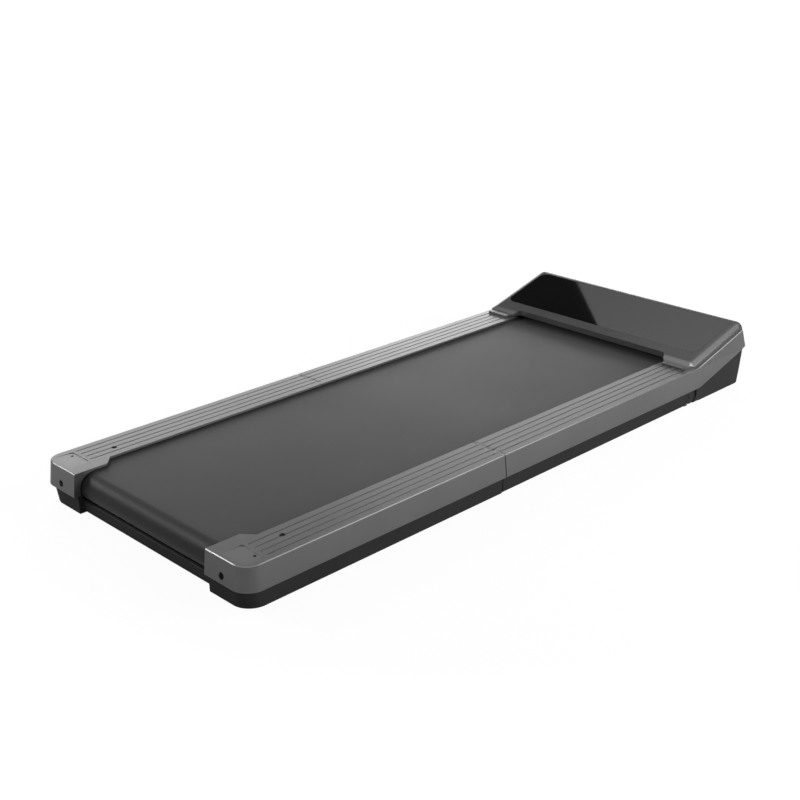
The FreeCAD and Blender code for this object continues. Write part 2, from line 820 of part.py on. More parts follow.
def front_pan():
    wide = bottom_pan(front_end_y, skirt_front_y, half_width - pan_inset)
    clear_x = wheel_x0 - wheel_bracket_gap - wheel_bracket_thickness - pan_end_gap
    narrow = bottom_pan(skirt_front_y, base_rear_y, clear_x)
    return joined([wide, narrow])


def guard_bar():
    side = [(bar_setback, bar_bottom, bar_round), (bar_setback + bar_depth, bar_bottom, bar_round),
            (bar_setback + bar_depth, bar_top, bar_round), (bar_setback, bar_top, bar_round)]
    web = box(-end_inner_x, end_inner_x, bar_setback + bar_round, bar_setback + bar_depth,
              skirt_bottom + skirt_wall, bar_bottom + bar_round)
    return joined([prism_x(side, -end_inner_x, end_inner_x), web])


def feet(y0, y1):
    pads = []
    for share in foot_shares:
        for x in (-(half_width - foot_inset), half_width - foot_inset):
            pads.append(cylinder_z(x, y0 + (y1 - y0) * share, foot_radius, 0, skirt_bottom))
    return pads


# Motor cover with its panel
def cover_profile():
    """Side outline of the cover: tongue, step, slope, front and the line it sits on."""
    step_y = pad_length - step_setback
    tongue_z = rail_top + tongue_height
    return [(tongue_y, rail_top), (tongue_y, tongue_z, tongue_round),
            (tongue_y + tongue_length, tongue_z, step_hollow_round),
            (step_y, cover_z(step_y), step_crown_round),
            (cover_head_y, cover_z(cover_head_y)), (cover_foot_y, cover_foot_z),
            (cover_heel_y, rail_top - cover_heel_drop), (cover_heel_y, rail_top)]


def cover_block(inset):
    """Sloped block with a rounded front and rounded side rims; an inset gives its hollow."""
    drop = inset / math.cos(math.radians(slope_angle))
    half = cover_half - inset
    head_y = cover_head_y - inset
    foot_y = cover_foot_y - inset
    head_z = cover_z(head_y) - drop
    floor_y = foot_y + (foot_y - head_y) * cover_foot_z / (head_z - cover_foot_z)
    side = [(tongue_y, 0), (tongue_y, cover_z(tongue_y) - drop), (head_y, head_z, cover_front_round - inset),
            (floor_y, 0)]
    block = prism_x(side, -half, half)
    rims = []
    for edge in block.Edges:
        middle = middle_of(edge)
        on_side = abs(middle.x) > half - running_clearance
        if on_side and middle.y > tongue_y + rail_bevel and middle.z > rail_bevel:
            rims.append(edge)
    return block.makeFillet(cover_edge_round - inset, rims)


def cover_plan():
    """Plan of the cover: tongues on the rails, and a rounded bay over the belt."""
    flare_y = tongue_y + tongue_length - tongue_inner_flare
    tongue_x0 = rail_inner_x + tongue_inset_inner
    tongue_x1 = half_width - tongue_inset_outer
    right = [(cover_half, pad_length), (cover_half, flare_y + tongue_flare_length), (tongue_x1, flare_y),
             (tongue_x1, tongue_y), (tongue_x0, tongue_y), (tongue_x0, flare_y),
             (rail_inner_x, flare_y + tongue_inset_inner), (rail_inner_x, lip_y, lip_corner_round)]
    left = [(-corner[0],) + tuple(corner[1:]) for corner in reversed(right)]
    return right + left


def slope_plate(half, y0, y1, depth, thickness, radius):
    """Rounded plate under the cover's sloped top, from depth to depth plus thickness below it."""
    angle = math.radians(slope_angle)
    s0 = (y0 - kink_y) / math.cos(angle)
    s1 = (y1 - kink_y) / math.cos(angle)
    outline = [(-half, s0, radius), (half, s0, radius), (half, s1, radius), (-half, s1, radius)]
    plate = prism_z(outline, -depth - thickness, -depth)
    plate.Placement = FreeCAD.Placement(V(0, kink_y, rail_top + cover_rise),
                                        FreeCAD.Rotation(V(1, 0, 0), slope_angle))
    return plate


def panel_plate(clearance, overrun):
    half = half_width - panel_inset + clearance
    rear_y = panel_rear_y - clearance
    front_y = cover_head_y - panel_front_margin + clearance
    return slope_plate(half, rear_y, front_y, -overrun, panel_thickness + overrun, panel_corner_round)


def motor_cover():
    outer = cover_block(0).common(prism_x(cover_profile(), -cover_half, cover_half))
    outer = outer.common(prism_z(cover_plan(), 0, pad_width))
    room = box(-half_width, half_width, lip_y + cover_wall, pad_length, 0, pad_width)
    hollow = cover_block(cover_wall).common(room)
    lip_bottom = cover_z(lip_y) - lip_height
    bay = box(-rail_inner_x, rail_inner_x, tongue_y, lip_y + cover_wall * 2, 0, lip_bottom)
    return outer.cut([hollow, bay, panel_plate(0, cut_over)])


def display_board():
    """Board on four posts under the cover's top."""
    middle_y = (panel_rear_y + cover_head_y) / 2
    y0 = middle_y - display_board_depth / 2
    y1 = middle_y + display_board_depth / 2
    half = display_board_width / 2
    board = slope_plate(half, y0, y1, cover_wall + display_board_gap, display_board_thickness, 0)
    posts = []
    margin = display_post_radius * 2
    for x in (-half + margin, half - margin):
        for y in (y0 + margin, y1 - margin):
            s = (y - kink_y) / math.cos(math.radians(slope_angle))
            post = cylinder_z(x, s, display_post_radius, -cover_wall - display_board_gap, -cover_wall)
            post.Placement = FreeCAD.Placement(V(0, kink_y, rail_top + cover_rise),
                                               FreeCAD.Rotation(V(1, 0, 0), slope_angle))
            posts.append(post)
    return joined([board] + posts)


# Lower motor housing
def base_top_z(y):
    """Height where the cover's lower edge sits on the lower housing."""
    heel_z = rail_top - cover_heel_drop
    return heel_z + (cover_foot_z - heel_z) * (y - cover_heel_y) / (cover_foot_y - cover_heel_y)


def base_body(inset, floor_z):
    foot = [(base_rear_y + inset, floor_z), (base_foot_y - inset, floor_z, base_front_round),
            (base_head_y - inset, base_head_z), (cover_foot_y - inset, cover_foot_z),
            (base_rear_y + inset, base_top_z(base_rear_y))]
    if inset:
        foot[3] = (cover_foot_y - inset, cover_foot_z + cut_over)
        foot[4] = (base_rear_y + inset, cover_foot_z + cut_over)
    top_x = half_width - base_inset_top - inset
    low_x = half_width - base_inset_bottom - inset
    high_z = cover_foot_z + cut_over * 2
    section = [(-low_x, 0), (low_x, 0), (top_x, band_bottom), (top_x, high_z), (-top_x, high_z),
               (-top_x, band_bottom)]
    return prism_x(foot, -half_width, half_width).common(prism_y(section, base_rear_y, pad_length))


def front_wall_place(x, height):
    """Placement on the leaning front wall: local Y points out of the wall, local Z up along it."""
    y = base_foot_y + (base_head_y - base_foot_y) * height / base_head_z
    return FreeCAD.Placement(V(x, y, height), FreeCAD.Rotation(V(1, 0, 0), -front_lean))


def on_front_wall(shape, x, height):
    placed = shape.copy()
    placed.Placement = front_wall_place(x, height).multiply(shape.Placement)
    return placed


def motor_base():
    shell = base_body(0, 0).cut(base_body(base_wall, base_wall))
    low_x = half_width - base_inset_top - base_wall
    wall_y = base_rear_y + base_wall
    rear_gap = box(-low_x, low_x, base_rear_y - cut_over, wall_y, base_rear_wall_top, rail_top * 2)
    shell = shell.cut(rear_gap)
    y0 = base_rear_y + base_lip_end_margin
    y1 = base_foot_y - base_lip_end_margin
    lip = [(y0, base_top_z(y0) - base_lip_height), (y1, base_top_z(y1) - base_lip_height),
           (y1, base_top_z(y1)), (y0, base_top_z(y0))]
    right_lip = prism_x(lip, half_width - base_inset_top - base_wall, half_width - rail_wall)
    shell = joined([shell, right_lip, mirrored(right_lip)])
    half_w = inlet_width / 2
    half_t = inlet_tall / 2
    inlet_hole = box(-half_w, half_w, -inlet_depth, cut_over, -half_t, half_t)
    half_w = rocker_width / 2 + rocker_frame_thickness
    half_t = rocker_tall / 2 + rocker_frame_thickness
    rocker_hole = box(-half_w, half_w, -rocker_body_depth, cut_over, -half_t, half_t)
    return shell.cut([on_front_wall(inlet_hole, inlet_x, inlet_height),
                      on_front_wall(rocker_hole, rocker_x, inlet_height)])


# Mains inlet and rocker switch
def power_inlet():
    """Recessed three-pin inlet with a flange on the front wall."""
    half_w = inlet_width / 2
    half_t = inlet_tall / 2
    flange = [(-half_w - inlet_flange, -half_t - inlet_flange / 2, inlet_flange / 2),
              (half_w + inlet_flange, -half_t - inlet_flange / 2, inlet_flange / 2),
              (half_w + inlet_flange, half_t + inlet_flange / 2, inlet_flange / 2),
              (-half_w - inlet_flange, half_t + inlet_flange / 2, inlet_flange / 2)]
    body = joined([prism_y(flange, 0, inlet_flange_thickness),
                   box(-half_w, half_w, -inlet_depth, 0, -half_t, half_t)])
    in_w = half_w - inlet_wall
    in_t = half_t - inlet_wall
    mouth = [(-in_w, -in_t), (in_w, -in_t), (in_w, in_t - inlet_corner), (in_w - inlet_corner, in_t),
             (inlet_corner - in_w, in_t), (-in_w, in_t - inlet_corner)]
    floor_y = inlet_wall - inlet_depth
    body = body.cut(prism_y(mouth, floor_y, inlet_flange_thickness + cut_over))
    pins = []
    half_pin = inlet_pin_thickness / 2
    for x in (-inlet_pin_pitch, 0, inlet_pin_pitch):
        z = -inlet_pin_offset / 2 if x else inlet_pin_offset / 2
        pins.append(box(x - half_pin, x + half_pin, floor_y, floor_y + inlet_pin_length,
                        z - inlet_pin_width / 2, z + inlet_pin_width / 2))
    return on_front_wall(joined([body] + pins), inlet_x, inlet_height)


def switch_frame():
    """Frame and back box of the rocker switch, with two pivot holes."""
    half_w = rocker_width / 2
    half_t = rocker_tall / 2
    wall = rocker_frame_thickness
    frame_w = half_w + rocker_frame + wall
    frame_t = half_t + rocker_frame + wall
    frame = box(-frame_w, frame_w, 0, wall, -frame_t, frame_t)
    back = box(-half_w - wall, half_w + wall, -rocker_body_depth, 0, -half_t - wall, half_t + wall)
    hollow = box(-half_w, half_w, wall - rocker_body_depth, wall + cut_over, -half_t, half_t)
    pivot = cylinder_x(-rocker_hinge_depth, 0, rocker_pin_radius + running_clearance, -half_w - wall / 2,
                       half_w + wall / 2)
    return on_front_wall(joined([frame, back]).cut([hollow, pivot]), rocker_x, inlet_height)


def power_rocker():
    """Rocker with two sloped faces on a pivot pin, pressed at its lower end."""
    half_w = rocker_width / 2 - fit_clearance
    half_t = rocker_tall / 2 - fit_clearance * 4
    dip = rocker_hinge_depth
    valley = rocker_proud - half_t * math.tan(math.radians(rocker_tilt))
    face = [(-dip, -half_t), (rocker_proud, -half_t), (valley, 0), (rocker_proud, half_t), (-dip, half_t),
            (-dip - rocker_pin_radius * 2, 0)]
    body = prism_x(face, -half_w, half_w)
    pin = cylinder_x(-dip, 0, rocker_pin_radius, -half_w - rocker_frame_thickness / 2 + fit_clearance,
                     half_w + rocker_frame_thickness / 2 - fit_clearance)
    rocker = joined([body, pin])
    rocker.rotate(V(0, -dip, 0), V(1, 0, 0), -rocker_tilt)
    return on_front_wall(rocker, rocker_x, inlet_height)


# Motor, drive belt and controller
def motor_can():
    x1 = motor_x0 + motor_length
    can = cylinder_x(motor_y, motor_z, motor_radius, motor_x0, x1)
    bore = cylinder_x(motor_y, motor_z, motor_radius - motor_can_wall, motor_x0 + motor_can_wall,
                      x1 - motor_can_wall)
    shaft_bore = cylinder_x(motor_y, motor_z, motor_shaft_radius + running_clearance, motor_x0 - cut_over,
                            x1 + cut_over)
    return can.cut([bore, shaft_bore])


def motor_saddles():
    plates = []
    for share in motor_saddle_shares:
        x = motor_x0 + motor_length * share
        top = base_wall + (motor_z - base_wall) * motor_saddle_rise_share
        block = box(x - motor_saddle_width / 2, x + motor_saddle_width / 2, motor_y - motor_saddle_depth / 2,
                    motor_y + motor_saddle_depth / 2, base_wall, top)
        can_room = cylinder_x(motor_y, motor_z, motor_radius, x - motor_length, x + motor_length)
        plates.append(block.cut(can_room))
    return plates


def ribbed_pulley(y, z, radius, bore):
    """Pulley with V ribs round it, between plain flanks at the drive end."""
    x0 = -roller_x - pulley_width
    pitch = (pulley_width - pulley_side * 2) / pulley_rib_count
    profile = [(x0, bore), (x0, radius)]
    for i in range(pulley_rib_count):
        start = x0 + pulley_side + pitch * i
        profile.append((start, radius))
        profile.append((start + pitch / 2, radius - pulley_rib_depth))
    profile.append((x0 + pulley_width - pulley_side, radius))
    profile.append((x0 + pulley_width, radius))
    profile.append((x0 + pulley_width, bore))
    return turned_x(profile, y, z)


def drive_belt():
    x0 = -roller_x - pulley_width + drive_belt_margin
    x1 = -roller_x - drive_belt_margin

    def loop(growth):
        ends = []
        for y, z, radius in ((drive_roller_y, roller_z, pulley_radius),
                             (motor_y, motor_z, motor_pulley_radius)):
            ends.append((y, z, radius + roller_belt_gap + growth))
        (y_a, z_a, r_a), (y_b, z_b, r_b) = ends
        span = math.hypot(y_b - y_a, z_b - z_a)
        heading = math.atan2(z_b - z_a, y_b - y_a)
        spread = math.acos((r_a - r_b) / span)
        points = []
        for y, z, r, side in ((y_a, z_a, r_a, 1), (y_b, z_b, r_b, 1), (y_b, z_b, r_b, -1),
                              (y_a, z_a, r_a, -1)):
            turn = heading + side * spread
            points.append((y + r * math.cos(turn), z + r * math.sin(turn)))
        body = prism_x(points, x0, x1)
        return joined([body] + [cylinder_x(y, z, r, x0, x1) for y, z, r in ends])

    return loop(drive_belt_thickness).cut(loop(0))


def controller_board():
    y0 = pad_length - board_setback
    z1 = board_height + board_thickness
    board = box(board_x0, board_x0 + board_width, y0, y0 + board_depth, board_height, z1)
    posts = []
    for x in (board_x0 + board_post_margin, board_x0 + board_width - board_post_margin):
        for y in (y0 + board_post_margin, y0 + board_depth - board_post_margin):
            posts.append(cylinder_z(x, y, board_post_radius, base_wall, board_height))
    return joined([board] + posts)


def controller_heatsink():
    x0 = board_x0 + heatsink_margin
    y0 = pad_length - board_setback + heatsink_margin
    z0 = board_height + board_thickness
    y1 = y0 + heatsink_depth
    fin_z = z0 + heatsink_base
    solids = [box(x0, x0 + heatsink_width, y0, y1, z0, fin_z)]
    step = (heatsink_width - heatsink_fin) / (heatsink_fin_count - 1)
    for i in range(heatsink_fin_count):
        x = x0 + step * i
        solids.append(box(x, x + heatsink_fin, y0, y1, fin_z, z0 + heatsink_height))
    return joined(solids)


def controller_capacitors():
    x = board_x0 + heatsink_margin * 2 + heatsink_width + capacitor_radius
    y = pad_length - board_setback + heatsink_margin + capacitor_radius
    z0 = board_height + board_thickness
    z1 = z0 + capacitor_height
    return [cylinder_z(x, y + capacitor_pitch * i, capacitor_radius, z0, z1) for i in range(2)]


# Transport wheels
def transport_wheel():
    bore = wheel_axle_radius + running_clearance
    dish_x = wheel_x1 - wheel_dish_depth
    profile = [(wheel_x0, bore), (wheel_x0, wheel_radius, wheel_round), (wheel_x1, wheel_radius, wheel_round),
               (wheel_x1, wheel_dish_radius), (dish_x, wheel_dish_radius), (dish_x, bore)]
    return turned_x(profile, wheel_y, wheel_z)


def wheel_bracket():
    """Hanger under the side beam, inboard of the wheel."""
    x1 = wheel_x0 - wheel_bracket_gap
    x0 = x1 - wheel_bracket_thickness
    half = wheel_bracket_depth / 2
    side = [(wheel_y - half, beam_bottom), (wheel_y - half, wheel_z - half, half * round_share),
            (wheel_y + half, wheel_z - half, half * round_share), (wheel_y + half, beam_bottom)]
    plate = prism_x(side, x0, x1)
    return plate.cut(cylinder_x(wheel_y, wheel_z, wheel_axle_radius, x0 - cut_over, x1 + cut_over))


def wheel_axle():
    x0 = wheel_x0 - wheel_bracket_gap - wheel_bracket_thickness
    head_x = wheel_x1 - wheel_dish_depth + fit_clearance
    shank = cylinder_x(wheel_y, wheel_z, wheel_axle_radius, x0, head_x)
    head = cylinder_x(wheel_y, wheel_z, wheel_axle_head_radius, head_x, head_x + wheel_axle_head_height)
    return joined([shank, head])


def build():
    os.makedirs("parts", exist_ok=True)

    export_pair("rear_rail_cover", rear_rail_cover())
    export_pair("front_rail_cover", front_rail_cover())

    leaf = hinge_leaf(rear_end_y, -1)
    export("rear_hinge_leaves", leaf, mirrored(leaf))
    leaf = hinge_leaf(front_end_y, 1)
    export("front_hinge_leaves", leaf, mirrored(leaf))
    links = [hinge_link(x) for x in link_xs]
    export("fold_links", *(links + [mirrored(link) for link in links]))
    pins = [hinge_pin(y) for y in (rear_pin_y, front_pin_y)]
    export("fold_pins", *(pins + [mirrored(pin) for pin in pins]))

    beam = side_beam(rear_beam_y, rear_end_y - leaf_setback - leaf_length)
    export("rear_side_beams", beam, mirrored(beam))
    beam = side_beam(front_end_y + leaf_setback + leaf_length, front_beam_y)
    export("front_side_beams", beam, mirrored(beam))
    for node, y0, y1 in (("rear", rear_deck_y, rear_end_y), ("front", front_end_y, front_deck_y)):
        export(node + "_cross_members", *cross_members(y0, y1))
        export(node + "_deck_cushions", *deck_cushions(y0, y1))
        export(node + "_deck", deck(y0, y1))

    export("walking_belt_rear", belt_half(rear_roller_y, fold_y - belt_seam_gap / 2))
    export("walking_belt_front", belt_half(drive_roller_y, fold_y + belt_seam_gap / 2))

    export("rear_roller", roller_tube(rear_roller_y, -roller_x, roller_x))
    export("rear_roller_bearings", *roller_bearings(rear_roller_y, -roller_x, roller_x))
    export("rear_roller_axle", rear_axle())
    mount = rear_axle_mount()
    export("rear_axle_mounts", mount, mirrored(mount))
    export_pair("tension_bolt", tension_bolt())
    export("drive_roller", roller_tube(drive_roller_y, -roller_x, roller_x))
    export("drive_roller_bearings", *roller_bearings(drive_roller_y, -roller_x, roller_x))
    export("drive_roller_axle", cylinder_x(drive_roller_y, roller_z, axle_radius,
                                           -pulley_mount_x0 - mount_thickness, mount_x1))
    export("drive_roller_mounts", drive_mount(mount_x0), drive_mount(-pulley_mount_x0 - mount_thickness))
    pulley = ribbed_pulley(drive_roller_y, roller_z, pulley_radius, axle_radius + fit_clearance)
    export("roller_pulley", pulley)

    export_pair("front_skirt", front_skirt())
    export_pair("rear_skirt", rear_skirt())
    export("rear_bottom_pan", rear_pan())
    export("front_bottom_pan", front_pan())
    export("rear_guard_bar", guard_bar())
    export("rear_feet", *feet(0, rear_end_y))
    export("front_feet", *feet(front_end_y, skirt_front_y))
    screw = cylinder_z(half_width - cover_screw_inset, cover_screw_y, cover_screw_head_radius, rail_roof,
                       rail_roof + cover_screw_head_height)
    export("rail_cover_screws", screw, mirrored(screw))

    export("motor_top_cover", motor_cover())
    export("display_panel", panel_plate(-fit_clearance, 0))
    export("display_board", display_board())
    export("motor_base", motor_base())
    export("power_inlet", power_inlet())
    export("switch_frame", switch_frame())
    export("power_rocker", power_rocker())

    x_pulley = -roller_x - pulley_width
    x_tail = motor_x0 + motor_length + motor_shaft_tail
    export("motor_shaft", cylinder_x(motor_y, motor_z, motor_shaft_radius, x_pulley, x_tail))
    export("motor_pulley", ribbed_pulley(motor_y, motor_z, motor_pulley_radius, motor_shaft_radius))
    flywheel_x1 = flywheel_x0 + flywheel_width
    wheel = [(flywheel_x0, motor_shaft_radius), (flywheel_x0, flywheel_radius),
             (flywheel_x1, flywheel_radius), (flywheel_x1, motor_shaft_radius)]
    export("motor_flywheel", turned_x(wheel, motor_y, motor_z))
    core = [(motor_x0 + armature_margin, motor_shaft_radius), (motor_x0 + armature_margin, armature_radius),
            (motor_x0 + motor_length - armature_margin, armature_radius),
            (motor_x0 + motor_length - armature_margin, motor_shaft_radius)]
    export("motor_armature", turned_x(core, motor_y, motor_z))
    export("motor_can", motor_can())
    export("motor_saddles", *motor_saddles())
    export("drive_belt", drive_belt())
    export("controller_board", controller_board())
    export("controller_heatsink", controller_heatsink())
    export("controller_capacitors", *controller_capacitors())

    export_pair("transport_wheel", transport_wheel())
    bracket = wheel_bracket()
    export("wheel_brackets", bracket, mirrored(bracket))
    axle = wheel_axle()
    export("wheel_axles", axle, mirrored(axle))


build()
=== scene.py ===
import json
import math

import bmesh
import bpy
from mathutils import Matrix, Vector


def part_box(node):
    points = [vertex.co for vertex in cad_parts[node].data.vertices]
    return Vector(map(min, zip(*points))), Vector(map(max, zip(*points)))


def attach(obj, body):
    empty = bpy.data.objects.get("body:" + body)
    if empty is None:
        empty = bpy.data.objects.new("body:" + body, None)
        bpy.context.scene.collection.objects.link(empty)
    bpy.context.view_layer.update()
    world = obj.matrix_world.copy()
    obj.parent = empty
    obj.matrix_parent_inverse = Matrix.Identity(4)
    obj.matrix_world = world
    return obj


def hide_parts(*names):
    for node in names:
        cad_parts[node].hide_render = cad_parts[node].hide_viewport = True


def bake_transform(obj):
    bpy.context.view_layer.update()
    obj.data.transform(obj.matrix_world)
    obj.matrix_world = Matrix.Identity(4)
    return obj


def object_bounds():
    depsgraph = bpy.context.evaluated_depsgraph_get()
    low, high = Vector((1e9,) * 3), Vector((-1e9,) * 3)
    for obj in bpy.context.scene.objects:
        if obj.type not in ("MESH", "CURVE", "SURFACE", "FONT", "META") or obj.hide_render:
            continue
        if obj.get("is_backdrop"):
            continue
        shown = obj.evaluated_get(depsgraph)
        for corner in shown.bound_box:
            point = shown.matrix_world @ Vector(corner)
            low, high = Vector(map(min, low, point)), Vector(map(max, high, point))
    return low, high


# Folding walking pad: finishes, belt, fasteners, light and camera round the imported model, in metres.

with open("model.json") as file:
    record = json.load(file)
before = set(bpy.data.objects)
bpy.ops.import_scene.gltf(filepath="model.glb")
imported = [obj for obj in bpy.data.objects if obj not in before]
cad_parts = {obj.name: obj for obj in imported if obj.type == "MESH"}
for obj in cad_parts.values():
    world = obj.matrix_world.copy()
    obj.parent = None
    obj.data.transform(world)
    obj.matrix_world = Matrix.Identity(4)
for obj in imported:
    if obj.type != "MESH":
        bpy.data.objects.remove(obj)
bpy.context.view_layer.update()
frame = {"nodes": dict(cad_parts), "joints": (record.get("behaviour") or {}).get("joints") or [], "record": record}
nodes = frame["nodes"]
scene = bpy.context.scene
mm = 0.001


# Node helpers
def new_material(name):
    material = bpy.data.materials.new(name)
    material.use_nodes = True
    tree = material.node_tree
    shader = tree.nodes["Principled BSDF"]
    coords = tree.nodes.new("ShaderNodeTexCoord")
    return material, tree, shader, coords.outputs["Object"]


def noise(tree, vector, scale, detail=4.0, roughness=0.55):
    node = tree.nodes.new("ShaderNodeTexNoise")
    node.inputs["Scale"].default_value = scale
    node.inputs["Detail"].default_value = detail
    node.inputs["Roughness"].default_value = roughness
    tree.links.new(vector, node.inputs["Vector"])
    return node.outputs["Fac"]


def mapped(tree, value, low, high, from_low=0.3, from_high=0.7):
    node = tree.nodes.new("ShaderNodeMapRange")
    node.inputs["From Min"].default_value = from_low
    node.inputs["From Max"].default_value = from_high
    node.inputs["To Min"].default_value = low
    node.inputs["To Max"].default_value = high
    tree.links.new(value, node.inputs["Value"])
    return node.outputs["Result"]


def mixed(tree, factor, first, second):
    node = tree.nodes.new("ShaderNodeMix")
    node.data_type = "RGBA"
    tree.links.new(factor, node.inputs["Factor"])
    for socket, value in ((node.inputs["A"], first), (node.inputs["B"], second)):
        if isinstance(value, tuple):
            socket.default_value = value + (1.0,)
        else:
            tree.links.new(value, socket)
    return node.outputs["Result"]


def math_node(tree, operation, first, second):
    node = tree.nodes.new("ShaderNodeMath")
    node.operation = operation
    for i, value in enumerate((first, second)):
        if isinstance(value, (int, float)):
            node.inputs[i].default_value = value
        else:
            tree.links.new(value, node.inputs[i])
    return node.outputs["Value"]


def weighted(tree, first, first_share, second, second_share):
    """Sum of two values in given shares."""
    first_part = math_node(tree, "MULTIPLY", first, first_share)
    second_part = math_node(tree, "MULTIPLY", second, second_share)
    return math_node(tree, "ADD", first_part, second_part)


def tint(tree, shader, value, dark, light):
    """Base colour that runs from dark to light with a value."""
    colour = mixed(tree, mapped(tree, value, 0.0, 1.0), dark, light)
    tree.links.new(colour, shader.inputs["Base Color"])


def bump(tree, shader, height, strength, depth):
    """Fine relief on a shader, as deep as the depth at its full height."""
    node = tree.nodes.new("ShaderNodeBump")
    node.inputs["Strength"].default_value = strength
    node.inputs["Distance"].default_value = depth
    tree.links.new(height, node.inputs["Height"])
    tree.links.new(node.outputs["Normal"], shader.inputs["Normal"])


# Finishes
silver_metallic = 0.8


def finish_of(name, dark, light, mottle, rough, grain, strength, depth, **sockets):
    """Mottled colour, uneven gloss and fine relief; the other sockets are set on the shader."""
    material, tree, shader, where = new_material(name)
    blotch = noise(tree, where, mottle)
    tint(tree, shader, blotch, dark, light)
    tree.links.new(mapped(tree, blotch, rough[0], rough[1]), shader.inputs["Roughness"])
    bump(tree, shader, noise(tree, where, grain, detail=2.0), strength, depth)
    for socket, value in sockets.items():
        shader.inputs[socket.replace("_", " ")].default_value = value
    return material


def silver_paint():
    """Metallic silver-grey coat with a fine sparkle grain."""
    material, tree, shader, where = new_material("silver_cover")
    fleck = noise(tree, where, scale=2600.0, detail=1.0, roughness=0.5)
    cloud = noise(tree, where, scale=7.0)
    tone = weighted(tree, fleck, 0.75, cloud, 0.25)
    tint(tree, shader, tone, dark=(0.300, 0.300, 0.304), light=(0.360, 0.360, 0.364))
    tree.links.new(mapped(tree, cloud, 0.30, 0.35), shader.inputs["Roughness"])
    shader.inputs["Metallic"].default_value = silver_metallic
    bump(tree, shader, fleck, strength=0.12, depth=0.00006)
    return material


def belt_weave():
    """Matte belt: crossed fine ribs and a soft cloudiness from use."""
    material, tree, shader, where = new_material("belt")
    heights = []
    for direction in ("X", "Y"):
        wave = tree.nodes.new("ShaderNodeTexWave")
        wave.bands_direction = direction
        wave.inputs["Scale"].default_value = 260.0
        wave.inputs["Distortion"].default_value = 0.6
        tree.links.new(where, wave.inputs["Vector"])
        heights.append(wave.outputs["Fac"])
    weave = math_node(tree, "MULTIPLY", heights[0], heights[1])
    cloud = noise(tree, where, scale=5.0, detail=6.0)
    tone = weighted(tree, weave, 0.3, cloud, 0.7)
    tint(tree, shader, tone, dark=(0.038, 0.038, 0.0385), light=(0.046, 0.046, 0.0465))
    tree.links.new(mapped(tree, cloud, 0.44, 0.50), shader.inputs["Roughness"])
    shader.inputs["Specular IOR Level"].default_value = 0.36
    shader.inputs["Sheen Weight"].default_value = 0.3
    shader.inputs["Sheen Roughness"].default_value = 0.4
    bump(tree, shader, weave, strength=0.25, depth=0.0002)
    return material


def cover_coat():
    """Satin dark grey coat of the motor cover, with a silver coat on the tops of its two rest tongues and their
    steps that also stands for the light they catch; their end faces keep the dark grey as painted shade.
    """
    material, tree, shader, where = new_material("housing_grey")
    axes = tree.nodes.new("ShaderNodeSeparateXYZ")
    tree.links.new(where, axes.inputs["Vector"])
    # Painted shade: only faces above 81 to 82 mm take the silver, so the rear end faces of the tongues stay dark
    # grey; the silver on the tops also stands for the light they catch.
    behind_lip = mapped(tree, axes.outputs["Y"], 1.0, 0.0, from_low=0.486, from_high=0.491)
    over_rail = mapped(tree, axes.outputs["Z"], 0.0, 1.0, from_low=0.0810, from_high=0.0820)
    silver_coat_and_shade_mask = math_node(tree, "MULTIPLY", behind_lip, over_rail)
    blotch = noise(tree, where, scale=8.0)
    grey = mixed(tree, mapped(tree, blotch, 0.0, 1.0), (0.080, 0.080, 0.081), (0.094, 0.094, 0.095))
    tree.links.new(mixed(tree, silver_coat_and_shade_mask, grey, (0.330, 0.330, 0.334)), shader.inputs["Base Color"])
    tree.links.new(math_node(tree, "MULTIPLY", silver_coat_and_shade_mask, silver_metallic), shader.inputs["Metallic"])
    tree.links.new(mapped(tree, blotch, 0.29, 0.34), shader.inputs["Roughness"])
    shader.inputs["IOR"].default_value = 1.9
    bump(tree, shader, noise(tree, where, scale=1900.0, detail=2.0), strength=0.12, depth=0.00006)
    return material


